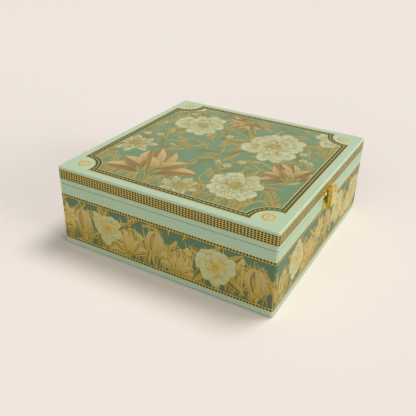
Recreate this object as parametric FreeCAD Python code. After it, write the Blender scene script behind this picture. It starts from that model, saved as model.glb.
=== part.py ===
"""Hinged sweet box: a wrapped fibreboard case with a lid, two stop hinges, a flap clasp and inner dividers.

Units are millimetres. The origin is the middle of the face that the box stands on, +Z is up,
the clasp is on the front (-Y) and the hinges are on the back (+Y).
"""

import FreeCAD, Part
import math
import os

V = FreeCAD.Vector

# Overall size of the closed case, without the clasp and the hinges
box_width = 203.2
box_depth = 203.2
box_height = 76.2
lid_height = 15.8
parting_gap = 0.3

# Sheet goods
board = 4.0
wrap = 0.4
lining = 0.3
bottom_sheet = 0.5
bottom_sheet_margin = 1.0
wrap_turn_in = 14.0

# Rounded edges of the wrapped case
corner_radius = 2.0
top_edge_radius = 1.2
bottom_edge_radius = 1.5
rim_edge_radius = 0.3

# Finger joints of the four walls and of the four lid rims
wall_fingers = 5
rim_fingers = 3

# Dividers, two each way, half-lapped into each other
divider_thickness = 3.0
divider_headroom = 13.0
divider_count = 2
lap_clearance = 0.1

# Stop hinges on the back
hinge_inset = 43.6
hinge_length = 25.0
hinge_knuckles = 5
knuckle_gap = 0.2
barrel_radius = 1.7
barrel_clearance = 0.1
barrel_relief = 0.25
leaf_thickness = 0.8
leaf_margin = 1.4
leaf_corner_radius = 1.2
hinge_pin_radius = 0.7
hinge_pin_head = 0.6
hinge_pin_head_radius = 1.2
lid_opening_deg = 105.0
stop_margin_deg = 1.0
stop_tail_reach = 3.6
stop_tail_clearance = 0.3
stop_tail_thickness = 1.3
hinge_screw_spacing = 15.0

# Flap clasp on the front
clasp_width = 20.0
clasp_plate = 1.3
clasp_parting_gap = 0.5
clasp_corner_radius = 1.2
lid_plate_height = 7.3
base_plate_height = 9.3
clasp_standoff = 1.8
clasp_barrel_radius = 1.5
clasp_arm_width = 6.4
clasp_arm_thickness = 1.0
clasp_arm_gap = 0.2
clasp_relief = 0.25
clasp_pin_radius = 0.7
clasp_pin_recess = 0.4
flap_width = 13.0
flap_thickness = 0.9
flange_below_barrel = 1.1
flange_nose_radius = 1.0
catch_rib_radius = 1.2
catch_rib_rise = 0.8
catch_rib_side_gap = 0.8
catch_clearance = 0.4

# Fasteners of the hinges and the clasp
screw_head_radius = 1.6
screw_head = 0.7
screw_slot_width = 0.45
screw_slot_depth = 0.3
rivet_head_radius = 1.3
rivet_head = 0.6
head_edge_radius = 0.35
shank_radius = 0.75
fastener_cover = 0.8
hole_clearance = 0.05
tip_clearance = 0.2
pin_clearance = 0.05

# How far cutters reach past what they cut, and how near two coordinates count as equal
OVERCUT = 10.0
SAME = 1e-6

# Levels and places worked out from the sizes above
parting_z = box_height - lid_height
base_top = parting_z - parting_gap / 2
lid_bottom = parting_z + parting_gap / 2
wrap_bottom = bottom_sheet
floor_bottom = wrap_bottom + wrap
floor_top = floor_bottom + board
wall_top = base_top - wrap
rim_bottom = lid_bottom + wrap
lid_board_top = box_height - wrap
rim_top = lid_board_top - board
board_width = box_width - 2 * wrap
board_depth = box_depth - 2 * wrap
cavity_width = board_width - 2 * board
cavity_depth = board_depth - 2 * board
inner_width = cavity_width - 2 * lining
inner_depth = cavity_depth - 2 * lining
floor_level = floor_top + lining
divider_top = base_top - divider_headroom
bottom_sheet_inset = bottom_edge_radius + bottom_sheet_margin
FRONT = -1
BACK = 1

hinge_spacing = box_width - 2 * hinge_inset
hinge_axis_y = box_depth / 2 + barrel_radius + barrel_clearance
hinge_axis_z = parting_z
hinge_screw_level = stop_tail_reach + stop_tail_clearance + screw_head_radius
leaf_height = hinge_screw_level + screw_head_radius + leaf_margin
clasp_lid_plate_bottom = parting_z + clasp_parting_gap
clasp_lid_plate_top = clasp_lid_plate_bottom + lid_plate_height
clasp_base_plate_top = parting_z - clasp_parting_gap
clasp_base_plate_bottom = clasp_base_plate_top - base_plate_height
clasp_axis_out = clasp_plate + clasp_standoff + clasp_barrel_radius
clasp_axis_z = clasp_lid_plate_top - clasp_barrel_radius
flap_outer = clasp_axis_out + clasp_barrel_radius
flap_inner = flap_outer - flap_thickness
flap_bottom = clasp_base_plate_bottom
flap_curl_out = clasp_plate + clasp_standoff
flap_curl_radius = flap_outer - flap_curl_out
flap_curl_z = flap_bottom + flap_curl_radius
fastener_bite = wrap + board - fastener_cover


def block(x_low, x_high, y_low, y_high, z_low, z_high):
    """A plain box between two corners."""
    return Part.makeBox(x_high - x_low, y_high - y_low, z_high - z_low, V(x_low, y_low, z_low))


def centred_block(width, depth, z_low, z_high):
    """A plain box centred on the Z axis."""
    return block(-width / 2, width / 2, -depth / 2, depth / 2, z_low, z_high)


def edges_at(shape, z):
    """The edges that lie wholly in the level z."""
    return [e for e in shape.Edges if all(abs(v.Z - z) < SAME for v in e.Vertexes)]


def upright_edges(shape):
    """The straight edges that run along Z."""
    found = []
    for e in shape.Edges:
        a, b = e.Vertexes[0].Point, e.Vertexes[-1].Point
        if abs(a.x - b.x) < SAME and abs(a.y - b.y) < SAME:
            found.append(e)
    return found


def rounded_block(width, depth, z_low, z_high, corner, top=0.0, bottom=0.0):
    """A centred box with rounded upright corners and, if given, rounded top and bottom edges."""
    shape = centred_block(width, depth, z_low, z_high)
    shape = shape.makeFillet(corner, upright_edges(shape))
    if top:
        shape = shape.makeFillet(top, edges_at(shape, z_high))
    if bottom:
        shape = shape.makeFillet(bottom, edges_at(shape, z_low))
    return shape


def rod(radius, start, along, length):
    """A cylinder from start along a direction."""
    return Part.makeCylinder(radius, length, start, along)


def profile_along_x(points, x_low, x_high):
    """A prism along X from corner points (y, z)."""
    corners = [V(x_low, y, z) for y, z in points]
    wire = Part.makePolygon(corners + corners[:1])
    return Part.Face(wire).extrude(V(x_high - x_low, 0, 0))


def face_y(side, out):
    """The Y of a point that lies out from the front or back face of the case."""
    return side * (box_depth / 2 + out)


def plate_on_face(side, x_low, x_high, z_low, z_high, out_low, out_high, corner):
    """A flat plate parallel to the front or back face, with rounded corners."""
    y_low, y_high = sorted((face_y(side, out_low), face_y(side, out_high)))
    plate = block(x_low, x_high, y_low, y_high, z_low, z_high)
    across = [e for e in plate.Edges if abs(e.Vertexes[0].Y - e.Vertexes[-1].Y) > SAME]
    return plate.makeFillet(corner, across)


def cell_bounds(z_low, z_high, count):
    """The levels that divide a height into equal finger cells."""
    step = (z_high - z_low) / count
    return [(z_low + i * step, z_low + (i + 1) * step) for i in range(count)]


def joined_frame(envelope, z_low, z_high, fingers):
    """Four boards finger-jointed at the corners, as a dict of side name to board."""
    half_w, half_d = board_width / 2, board_depth / 2
    boards = {
        "front": block(-half_w, half_w, -half_d, -half_d + board, z_low, z_high),
        "back": block(-half_w, half_w, half_d - board, half_d, z_low, z_high),
        "left": block(-half_w, -half_w + board, -half_d, half_d, z_low, z_high),
        "right": block(half_w - board, half_w, -half_d, half_d, z_low, z_high),
    }
    for index, (low, high) in enumerate(cell_bounds(z_low, z_high, fingers)):
        giving_way = ("left", "right") if index % 2 == 0 else ("front", "back")
        for sx in (-1, 1):
            for sy in (-1, 1):
                x_low, x_high = sorted((sx * half_w, sx * (half_w - board)))
                y_low, y_high = sorted((sy * half_d, sy * (half_d - board)))
                corner = block(x_low, x_high, y_low, y_high, low, high)
                for name in giving_way:
                    boards[name] = boards[name].cut(corner)
    return {name: shape.common(envelope) for name, shape in boards.items()}


def hinge_screw_places(hinge_x, up):
    """Where the screws of one leaf go, as (x, z): up is 1 for the lid leaf and -1 for the base leaf."""
    z = hinge_axis_z + up * hinge_screw_level
    return [(hinge_x + s * hinge_screw_spacing / 2, z) for s in (-1, 1)]


def clasp_rivet_places(plate_bottom, plate_top):
    """Where the rivets of one clasp plate go, as (x, z), in the margins beside the flap."""
    z = (plate_bottom + plate_top) / 2
    x = (clasp_width + flap_width) / 4
    return [(s * x, z) for s in (-1, 1)]


def fastener_hole(side, x, z):
    """The hole that a fastener's shank goes through, from outside the case into the board."""
    start = V(x, face_y(side, OVERCUT), z)
    length = OVERCUT + fastener_bite + tip_clearance
    return rod(shank_radius + hole_clearance, start, V(0, -side, 0), length)


def fastener(side, x, z, seat, head_radius, head_height):
    """A round-headed fastener whose head sits on a plate of thickness seat."""
    head = rod(head_radius, V(x, face_y(side, seat), z), V(0, side, 0), head_height)
    outer_y = face_y(side, seat + head_height)
    rim = [e for e in head.Edges if all(abs(v.Y - outer_y) < SAME for v in e.Vertexes)]
    head = head.makeFillet(head_edge_radius, [e for e in rim if e.Length > head_radius])
    shank = rod(shank_radius, V(x, face_y(side, seat), z), V(0, -side, 0), seat + fastener_bite)
    return head.fuse(shank).removeSplitter()


def slotted_screw(side, x, z, seat):
    """A screw with a straight driving slot."""
    screw = fastener(side, x, z, seat, screw_head_radius, screw_head)
    outer = seat + screw_head
    y_low, y_high = sorted((face_y(side, outer - screw_slot_depth), face_y(side, outer + OVERCUT)))
    half = screw_slot_width / 2
    slot = block(x - screw_head_radius, x + screw_head_radius, y_low, y_high, z - half, z + half)
    return screw.cut(slot)


def cut_holes(shape, side, places):
    """A shape with the fastener holes at these places cut through it."""
    for x, z in places:
        shape = shape.cut(fastener_hole(side, x, z))
    return shape


def case_boards(hinge_places, clasp_places):
    """The walls, floor and lid boards, and the envelopes that the wrap covers."""
    inner_corner = corner_radius - wrap
    base_block = rounded_block(
        board_width, board_depth, floor_bottom, wall_top, inner_corner, bottom=bottom_edge_radius - wrap
    )
    lid_block = rounded_block(
        board_width, board_depth, rim_bottom, lid_board_top, inner_corner, top=top_edge_radius - wrap
    )
    walls = joined_frame(base_block, floor_top, wall_top, wall_fingers)
    rims = joined_frame(lid_block, rim_bottom, rim_top, rim_fingers)
    walls["back"] = cut_holes(walls["back"], BACK, hinge_places["base"])
    walls["front"] = cut_holes(walls["front"], FRONT, clasp_places["base"])
    rims["back"] = cut_holes(rims["back"], BACK, hinge_places["lid"])
    rims["front"] = cut_holes(rims["front"], FRONT, clasp_places["lid"])
    boards = {f"base_{name}_wall": shape for name, shape in walls.items()}
    boards.update({f"lid_{name}_rim": shape for name, shape in rims.items()})
    boards["base_floor_board"] = base_block.common(
        centred_block(board_width, board_depth, floor_bottom, floor_top)
    )
    boards["lid_top_board"] = lid_block.common(
        centred_block(board_width, board_depth, rim_top, lid_board_top)
    )
    return boards, base_block, lid_block


def wraps(base_block, lid_block, hinge_places, clasp_places):
    """The printed paper round the base and round the lid, turned over the rims and under the floor."""
    base = rounded_block(
        box_width, box_depth, wrap_bottom, base_top, corner_radius, rim_edge_radius, bottom_edge_radius
    )
    base = base.cut(base_block)
    base = base.cut(centred_block(cavity_width, cavity_depth, floor_top, base_top + OVERCUT))
    base = base.cut(
        centred_block(
            box_width - 2 * wrap_turn_in, box_depth - 2 * wrap_turn_in, -OVERCUT, floor_bottom + wrap
        )
    )
    base = cut_holes(base, BACK, hinge_places["base"])
    base = cut_holes(base, FRONT, clasp_places["base"])
    lid = rounded_block(
        box_width, box_depth, lid_bottom, box_height, corner_radius, top_edge_radius, rim_edge_radius
    )
    lid = lid.cut(lid_block)
    lid = lid.cut(centred_block(cavity_width, cavity_depth, lid_bottom - OVERCUT, rim_top))
    lid = cut_holes(lid, BACK, hinge_places["lid"])
    lid = cut_holes(lid, FRONT, clasp_places["lid"])
    return {"base_wrap": base, "lid_wrap": lid}


def linings():
    """The paper that lines the inside, and the sheet that closes the underside."""
    band = centred_block(cavity_width, cavity_depth, floor_top, base_top)
    band = band.cut(centred_block(inner_width, inner_depth, floor_top - OVERCUT, base_top + OVERCUT))
    cap = centred_block(cavity_width, cavity_depth, lid_bottom, rim_top)
    cap = cap.cut(centred_block(inner_width, inner_depth, lid_bottom - OVERCUT, rim_top - lining))
    underside = rounded_block(
        box_width - 2 * bottom_sheet_inset,
        box_depth - 2 * bottom_sheet_inset,
        0.0,
        bottom_sheet,
        corner_radius,
    )
    return {
        "base_wall_lining": band,
        "base_floor_lining": centred_block(inner_width, inner_depth, floor_top, floor_level),
        "lid_lining": cap,
        "base_bottom_sheet": underside,
    }


def divider_places(span):
    """The middles of the dividers that share a span into equal compartments."""
    clear = (span - divider_count * divider_thickness) / (divider_count + 1)
    step = clear + divider_thickness
    return [-span / 2 + clear + divider_thickness / 2 + i * step for i in range(divider_count)]


def dividers():
    """Half-lapped strips: those along X are slotted from above, those along Y from below."""
    low, high = floor_level, divider_top
    middle = (low + high) / 2
    half = divider_thickness / 2
    slot = half + lap_clearance
    across = divider_places(inner_depth)
    along = divider_places(inner_width)
    nodes = {}
    for number, y in enumerate(across, start=1):
        strip = block(-inner_width / 2, inner_width / 2, y - half, y + half, low, high)
        for x in along:
            strip = strip.cut(block(x - slot, x + slot, y - slot, y + slot, middle, high + OVERCUT))
        nodes[f"divider_across_{number}"] = strip
    for number, x in enumerate(along, start=1):
        strip = block(x - half, x + half, -inner_depth / 2, inner_depth / 2, low, high)
        for y in across:
            strip = strip.cut(block(x - slot, x + slot, y - slot, y + slot, low - OVERCUT, middle))
        nodes[f"divider_along_{number}"] = strip
    return nodes


def knuckle_spans(hinge_x):
    """The X range of each knuckle of one hinge, from left to right."""
    step = hinge_length / hinge_knuckles
    start = hinge_x - hinge_length / 2
    spans = []
    for i in range(hinge_knuckles):
        spans.append((start + i * step + knuckle_gap / 2, start + (i + 1) * step - knuckle_gap / 2))
    return spans


def stop_tail(x_low, x_high):
    """The heel behind a lid knuckle that meets the base leaf when the lid is fully open."""
    turn = math.radians(lid_opening_deg + stop_margin_deg)
    face_in = face_y(BACK, leaf_thickness) - hinge_axis_y

    def at(out, above):
        """A point out along the base leaf and above it, turned back from the open lid to the shut one."""
        y, z = face_in + above, -out
        return (
            hinge_axis_y + y * math.cos(turn) - z * math.sin(turn),
            hinge_axis_z + y * math.sin(turn) + z * math.cos(turn),
        )

    corners = [
        at(0.0, 0.0),
        at(stop_tail_reach, 0.0),
        at(stop_tail_reach, stop_tail_thickness),
        at(0.0, stop_tail_thickness),
    ]
    return profile_along_x(corners, x_low, x_high)


def hinge_leaf(hinge_x, up):
    """One leaf with its rolled knuckles: up is 1 for the lid leaf and -1 for the base leaf."""
    near = hinge_axis_z + up * (barrel_radius + barrel_relief)
    far = hinge_axis_z + up * leaf_height
    z_low, z_high = sorted((near, far))
    half = hinge_length / 2
    leaf = plate_on_face(
        BACK, hinge_x - half, hinge_x + half, z_low, z_high, 0.0, leaf_thickness, leaf_corner_radius
    )
    first = 1 if up > 0 else 0
    own = knuckle_spans(hinge_x)[first::2]
    for x_low, x_high in own:
        web_low, web_high = sorted((hinge_axis_z, near + up * leaf_corner_radius))
        web = block(
            x_low, x_high, face_y(BACK, 0.0), face_y(BACK, leaf_thickness), web_low, web_high
        )
        barrel = rod(barrel_radius, V(x_low, hinge_axis_y, hinge_axis_z), V(1, 0, 0), x_high - x_low)
        leaf = leaf.fuse([web, barrel])
        if up > 0:
            leaf = leaf.fuse(stop_tail(x_low, x_high))
    bore = rod(
        hinge_pin_radius + pin_clearance,
        V(hinge_x - half - OVERCUT, hinge_axis_y, hinge_axis_z),
        V(1, 0, 0),
        hinge_length + 2 * OVERCUT,
    )
    leaf = leaf.cut(bore)
    return cut_holes(leaf, BACK, hinge_screw_places(hinge_x, up)).removeSplitter()


def headed_pin(x, half, y, z, radius, head_radius, head):
    """A pin along X with a flat head on each end, clear of what it holds by the pin clearance."""
    reach = half + pin_clearance
    pin = rod(radius, V(x - reach, y, z), V(1, 0, 0), 2 * reach)
    for s in (-1, 1):
        pin = pin.fuse(rod(head_radius, V(x + s * reach, y, z), V(s, 0, 0), head))
    return pin.removeSplitter()


def hinges():
    """Both hinges, and their screws grouped by the part that they hold."""
    nodes = {}
    screws = {"hinge_lid_screws": [], "hinge_base_screws": []}
    for name, hinge_x in (("left", -hinge_spacing / 2), ("right", hinge_spacing / 2)):
        nodes[f"{name}_hinge_lid_leaf"] = hinge_leaf(hinge_x, 1)
        nodes[f"{name}_hinge_base_leaf"] = hinge_leaf(hinge_x, -1)
        nodes[f"{name}_hinge_pin"] = headed_pin(
            hinge_x,
            hinge_length / 2,
            hinge_axis_y,
            hinge_axis_z,
            hinge_pin_radius,
            hinge_pin_head_radius,
            hinge_pin_head,
        )
        for group, up in (("hinge_lid_screws", 1), ("hinge_base_screws", -1)):
            for x, z in hinge_screw_places(hinge_x, up):
                screws[group].append(slotted_screw(BACK, x, z, leaf_thickness))
    nodes.update({group: Part.makeCompound(found) for group, found in screws.items()})
    return nodes


def clasp_bore():
    """The bore for the clasp pin, right across the clasp."""
    start = V(-clasp_width, face_y(FRONT, clasp_axis_out), clasp_axis_z)
    return rod(clasp_pin_radius + pin_clearance, start, V(1, 0, 0), 2 * clasp_width)


def clasp_barrel(x_low, x_high, radius):
    """A cylinder round the clasp's axis."""
    return rod(radius, V(x_low, face_y(FRONT, clasp_axis_out), clasp_axis_z), V(1, 0, 0), x_high - x_low)


def clasp_lid_plate():
    """The plate on the lid, with a bent-out arm whose rolled end carries the flap's pin."""
    half = clasp_width / 2
    plate = plate_on_face(
        FRONT,
        -half,
        half,
        clasp_lid_plate_bottom,
        clasp_lid_plate_top,
        0.0,
        clasp_plate,
        clasp_corner_radius,
    )
    arm_half = clasp_arm_width / 2
    arm = block(
        -arm_half,
        arm_half,
        face_y(FRONT, clasp_axis_out),
        face_y(FRONT, clasp_plate / 2),
        clasp_lid_plate_top - clasp_arm_thickness,
        clasp_lid_plate_top,
    )
    plate = plate.fuse([arm, clasp_barrel(-arm_half, arm_half, clasp_barrel_radius)])
    plate = plate.cut(clasp_bore())
    places = clasp_rivet_places(clasp_lid_plate_bottom, clasp_lid_plate_top)
    return cut_holes(plate, FRONT, places).removeSplitter()


def clasp_base_plate():
    """The plate on the base, with the pressed rib that the flap's curl snaps under."""
    half = clasp_width / 2
    plate = plate_on_face(
        FRONT,
        -half,
        half,
        clasp_base_plate_bottom,
        clasp_base_plate_top,
        0.0,
        clasp_plate,
        clasp_corner_radius,
    )
    rib_z = flap_bottom + flap_thickness + catch_rib_rise
    rib_half = flap_width / 2 - flap_thickness - catch_rib_side_gap
    rib_out = flap_curl_out - catch_clearance - catch_rib_radius
    rib = rod(catch_rib_radius, V(-rib_half, face_y(FRONT, rib_out), rib_z), V(1, 0, 0), 2 * rib_half)
    outside = block(
        -half,
        half,
        face_y(FRONT, OVERCUT),
        face_y(FRONT, clasp_plate / 2),
        clasp_base_plate_bottom,
        clasp_base_plate_top,
    )
    plate = plate.fuse(rib.common(outside))
    places = clasp_rivet_places(clasp_base_plate_bottom, clasp_base_plate_top)
    return cut_holes(plate, FRONT, places).removeSplitter()


def flap_section(outer, curl):
    """The side view of the flap's outside or of its hollow: straight down, then curled in below."""
    bend = curl / math.sqrt(2)
    top = V(0, face_y(FRONT, outer), clasp_axis_z)
    bend_start = V(0, face_y(FRONT, outer), flap_curl_z)
    bend_middle = V(0, face_y(FRONT, flap_curl_out + bend), flap_curl_z - bend)
    bend_end = V(0, face_y(FRONT, flap_curl_out), flap_curl_z - curl)
    inside = V(0, face_y(FRONT, flap_curl_out), clasp_axis_z)
    return Part.Wire(
        [
            Part.makeLine(top, bend_start),
            Part.Arc(bend_start, bend_middle, bend_end).toShape(),
            Part.makeLine(bend_end, inside),
            Part.makeLine(inside, top),
        ]
    )


def clasp_flap():
    """The flap: two rolled barrels, a face that curls in at the bottom, and two side flanges."""
    half = flap_width / 2
    across = V(flap_width, 0, 0)
    body = Part.Face(flap_section(flap_outer, flap_curl_radius)).extrude(across)
    body.translate(V(-half, 0, 0))
    hollow = Part.Face(flap_section(flap_inner, flap_curl_radius - flap_thickness)).extrude(across)
    hollow.translate(V(-half, 0, 0))
    face = body.cut(hollow)
    flange_top = clasp_axis_z - clasp_barrel_radius - flange_below_barrel
    flanges = []
    for x_low, x_high in ((-half, -half + flap_thickness), (half - flap_thickness, half)):
        reach = block(
            x_low, x_high, face_y(FRONT, flap_outer), face_y(FRONT, flap_curl_out), flap_bottom, flange_top
        )
        nose = [
            e
            for e in reach.Edges
            if all(abs(v.Y - face_y(FRONT, flap_curl_out)) < SAME for v in e.Vertexes)
            and all(abs(v.Z - flange_top) < SAME for v in e.Vertexes)
        ]
        flanges.append(reach.makeFillet(flange_nose_radius, nose).common(body))
    flap = face.fuse(flanges)
    clear_half = clasp_arm_width / 2 + clasp_arm_gap
    window = block(
        -clear_half,
        clear_half,
        face_y(FRONT, flap_outer + OVERCUT),
        face_y(FRONT, 0.0),
        clasp_axis_z - clasp_barrel_radius - clasp_relief,
        clasp_axis_z + OVERCUT,
    )
    flap = flap.cut(window)
    flap = flap.fuse(
        [
            clasp_barrel(-half, -clear_half, clasp_barrel_radius),
            clasp_barrel(clear_half, half, clasp_barrel_radius),
        ]
    )
    return flap.cut(clasp_bore()).removeSplitter()


def clasp_rivets(plate_bottom, plate_top):
    """The rivets of one clasp plate as a group."""
    return Part.makeCompound(
        [
            fastener(FRONT, x, z, clasp_plate, rivet_head_radius, rivet_head)
            for x, z in clasp_rivet_places(plate_bottom, plate_top)
        ]
    )


def clasp():
    """The flap clasp with its pin and rivets."""
    pin_half = flap_width / 2 - clasp_pin_recess
    return {
        "clasp_lid_plate": clasp_lid_plate(),
        "clasp_base_plate": clasp_base_plate(),
        "clasp_flap": clasp_flap(),
        "clasp_pin": clasp_barrel(-pin_half, pin_half, clasp_pin_radius),
        "clasp_lid_rivets": clasp_rivets(clasp_lid_plate_bottom, clasp_lid_plate_top),
        "clasp_base_rivets": clasp_rivets(clasp_base_plate_bottom, clasp_base_plate_top),
    }


def all_nodes():
    """Every piece of the box by its node name."""
    middles = (-hinge_spacing / 2, hinge_spacing / 2)
    hinge_places = {
        "lid": [p for x in middles for p in hinge_screw_places(x, 1)],
        "base": [p for x in middles for p in hinge_screw_places(x, -1)],
    }
    clasp_places = {
        "lid": clasp_rivet_places(clasp_lid_plate_bottom, clasp_lid_plate_top),
        "base": clasp_rivet_places(clasp_base_plate_bottom, clasp_base_plate_top),
    }
    nodes, base_block, lid_block = case_boards(hinge_places, clasp_places)
    nodes.update(wraps(base_block, lid_block, hinge_places, clasp_places))
    nodes.update(linings())
    nodes.update(dividers())
    nodes.update(hinges())
    nodes.update(clasp())
    return nodes


def main():
    os.makedirs("parts", exist_ok=True)
    for name, shape in sorted(all_nodes().items()):
        if not shape.isValid() or not shape.Solids:
            raise ValueError(f"{name} is not a valid solid")
        shape.exportStep(f"parts/{name}.step")
        print(f"{name}: {len(shape.Solids)} solid(s), {shape.Volume:.1f} mm3")


main()
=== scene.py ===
import functools
import math
import random
from collections import namedtuple

import bpy
from mathutils import Matrix, Vector
from mathutils.geometry import delaunay_2d_cdt


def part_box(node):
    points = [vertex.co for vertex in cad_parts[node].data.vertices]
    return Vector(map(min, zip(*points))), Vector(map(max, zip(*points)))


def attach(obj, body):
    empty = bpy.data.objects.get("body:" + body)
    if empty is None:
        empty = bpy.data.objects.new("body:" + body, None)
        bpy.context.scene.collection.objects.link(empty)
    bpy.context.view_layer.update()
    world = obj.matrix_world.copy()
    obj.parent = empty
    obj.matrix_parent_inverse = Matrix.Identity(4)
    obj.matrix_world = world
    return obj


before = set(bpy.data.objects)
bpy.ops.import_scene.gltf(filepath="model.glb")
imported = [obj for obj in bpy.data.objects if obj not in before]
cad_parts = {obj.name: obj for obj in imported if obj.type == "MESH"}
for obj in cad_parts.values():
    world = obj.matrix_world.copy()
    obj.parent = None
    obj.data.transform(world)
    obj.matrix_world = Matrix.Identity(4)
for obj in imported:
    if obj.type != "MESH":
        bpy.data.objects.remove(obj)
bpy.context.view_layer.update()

# The print is laid out in millimetres and the scene is in metres.
MM = 0.001
UP = math.pi / 2

# The Mix node's sockets for colours, which share their names with its other sockets.
MIX_FIRST = 6
MIX_SECOND = 7
MIX_RESULT = 2

# The box, as its CAD parts in model.glb give it.
lid_low, lid_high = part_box("lid_wrap")
base_low, base_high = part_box("base_wrap")
HALF = lid_high[0] / MM
TOP = lid_high[2] / MM
CORNER_RADIUS = 2.0
STRAIGHT = 2 * (HALF - CORNER_RADIUS)
BEND = UP * CORNER_RADIUS
AROUND = 4 * (STRAIGHT + BEND)

# The camera stands where the photographer did: place in millimetres, turns in degrees.
CAMERA_PLACE = (-408.3, -216.0, 278.6)
CAMERA_HEADING = 29.24
CAMERA_TILT = -29.58
CAMERA_ROLL = 1.34
CAMERA_LENS = 48.15
CAMERA_SENSOR = 36.0

# Light: a faint dome, a high key from the far right, a low lamp on the clasp's side and a fill from the left.
Lamp = namedtuple("Lamp", "came_from strength angle")
LAMPS = {
    "key": Lamp((0.31, -0.26, 0.91), 1.70, 25.0),
    "front": Lamp((0.0, -0.98, 0.21), 1.80, 40.0),
    "fill": Lamp((-0.94, 0.0, 0.34), 1.12, 60.0),
}
DOME_STRENGTH = 0.20
BACKDROP_COLOUR = (239, 229, 221)
FLOOR_COLOUR = (246, 236, 228)
BOUNCE_COLOUR = (170, 174, 168)
FLOOR_SIZE = 12.0

# How the print lies on the paper, in millimetres.
PRINT_DEPTH = 0.02
FOLD_STEPS = 8
CDT_HULL = 0
CDT_INSIDE = 1
CDT_MERGE = 1e-4
JOIN_BULGE = 0.004
CREASE = math.radians(40)
STROKE_PIECE = 5
PEN = 0.6

# Border of the lid's top, from its outer edge inwards.
PANEL_HALF = 94.6
BORDER_GOLD = 0.8
BORDER_DARK = 1.95
BORDER_BEAD = 0.9
BORDER_WIDTH = 2 * (BORDER_GOLD + BORDER_DARK) + BORDER_BEAD
BEAD_LENGTH = 2.6
BEAD_PITCH = 3.8
SCOOP_CENTRE = 90.6
SCOOP_RADIUS = 15.7
SCOOP_STEPS = 18
RING_CENTRE = 85.7
RING_OUTER = 5.3
RING_INNER = 3.5
RING_DOT = 1.3

# Lattice round the lid and corded lines round the base.
LATTICE_LOW = 64.7
LATTICE_HIGH = 73.9
LATTICE_ROWS = 5
LATTICE_EDGE = 0.35
LATTICE_COLUMNS = 74
OVAL_LENGTH = 2.2
OVAL_HEIGHT = 1.2
BEAD_SHARE = 0.34
LINE_UPPER = 50.0
LINE_LOWER = 7.4
LINE_HEIGHT = 2.7
DASH_LENGTH = 2.5
DASH_HEIGHT = 1.9
DASH_COUNT = 74
BAND_LOW = LINE_LOWER + LINE_HEIGHT / 2
BAND_HIGH = LINE_UPPER - LINE_HEIGHT / 2

# How often each print repeats on its way round the box.
LATTICE_TURNS = 4
LINE_TURNS = 4
BAND_TURNS = 2

# Inks, as display colours from the root to the tip of a shape, with their sheen and how far they stand proud.
Ink = namedtuple("Ink", "root tip metallic roughness lift")
INKS = {
    "ground": Ink((90, 114, 84), (100, 125, 93), 0.0, 0.46, 0.030),
    "gold_deep": Ink((134, 128, 62), (150, 142, 72), 0.20, 0.40, 0.035),
    "leaf": Ink((138, 124, 58), (176, 157, 80), 0.10, 0.42, 0.045),
    "leaf_deep": Ink((94, 98, 54), (124, 118, 62), 0.05, 0.44, 0.045),
    "ivory": Ink((180, 168, 100), (202, 206, 164), 0.0, 0.46, 0.050),
    "ivory_shade": Ink((148, 142, 86), (172, 172, 122), 0.0, 0.46, 0.050),
    "blush": Ink((172, 142, 74), (202, 181, 126), 0.0, 0.46, 0.050),
    "blush_shade": Ink((136, 108, 54), (168, 142, 84), 0.0, 0.46, 0.050),
    "dark": Ink((32, 48, 35), (40, 58, 42), 0.0, 0.44, 0.050),
    "tan": Ink((126, 106, 50), (152, 130, 68), 0.0, 0.44, 0.055),
    "straw": Ink((186, 155, 62), (214, 186, 94), 0.25, 0.38, 0.070),
    "gold": Ink((194, 162, 66), (222, 194, 100), 0.30, 0.36, 0.070),
}
PANEL_INKS = INKS | {
    "ground": Ink((110, 140, 105), (120, 148, 111), 0.0, 0.46, 0.030),
    "shade_leaf": Ink((116, 134, 94), (140, 146, 98), 0.0, 0.46, 0.035),
    "leaf": Ink((130, 130, 76), (164, 157, 94), 0.10, 0.42, 0.045),
    "leaf_deep": Ink((106, 116, 74), (134, 134, 82), 0.05, 0.44, 0.045),
    "ivory_shade": Ink((164, 158, 104), (184, 186, 140), 0.0, 0.46, 0.050),
    "blush_shade": Ink((122, 95, 48), (156, 129, 74), 0.0, 0.46, 0.050),
    "tan": Ink((144, 130, 74), (168, 156, 98), 0.0, 0.44, 0.055),
    "gold": Ink((170, 149, 74), (194, 172, 94), 0.20, 0.40, 0.070),
}
BORDER_INKS = INKS | {
    "dark": Ink((46, 76, 51), (52, 82, 56), 0.0, 0.44, 0.050),
    "ring": Ink((206, 162, 58), (222, 180, 72), 0.10, 0.40, 0.070),
}
FOIL_INKS = INKS | {
    "gold_deep": Ink((166, 150, 78), (180, 163, 87), 0.15, 0.40, 0.035),
    "dark": Ink((24, 42, 32), (32, 52, 38), 0.0, 0.44, 0.050),
    "gold": Ink((210, 181, 85), (230, 204, 114), 0.15, 0.36, 0.070),
}

# Other colours, as display values.
SAGE = (185, 206, 173)
SAGE_DEEP = (181, 203, 168)
SAGE_FIBRE = (197, 212, 185)
# Paler paper near the folds: partly wear, partly a painted highlight along the edges.
SAGE_WORN_AND_HIGHLIT = (207, 219, 197)
# Painted shade: the colour of the dark line along the seam where the lid meets the base.
SAGE_PAINTED_SEAM_SHADE = (120, 138, 108)
LINING = (214, 214, 190)
LINING_DEEP = (206, 206, 180)
LINING_FLECK = (228, 227, 208)
UNDER = (150, 158, 138)
UNDER_DEEP = (140, 149, 128)
UNDER_FLECK = (172, 178, 160)
BOARD = (142, 112, 78)
BOARD_DEEP = (112, 85, 56)
BOARD_PALE = (172, 142, 104)
BRASS = (232, 211, 104)
BRASS_DEEP = (214, 184, 80)
BRASS_PALE = (244, 224, 138)

# Wear and painted light on the wrap paper: how near a fold it turns paler, from wear and a painted highlight,
# and how near the lid's seam a painted shade darkens it, both in millimetres, and how dark that painted shade
# is.
WEAR_AND_HIGHLIGHT_REACH = (0.2, 1.6)
SEAM_REACH = (0.2, 0.7)
SEAM_SHADE = 0.28

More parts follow.
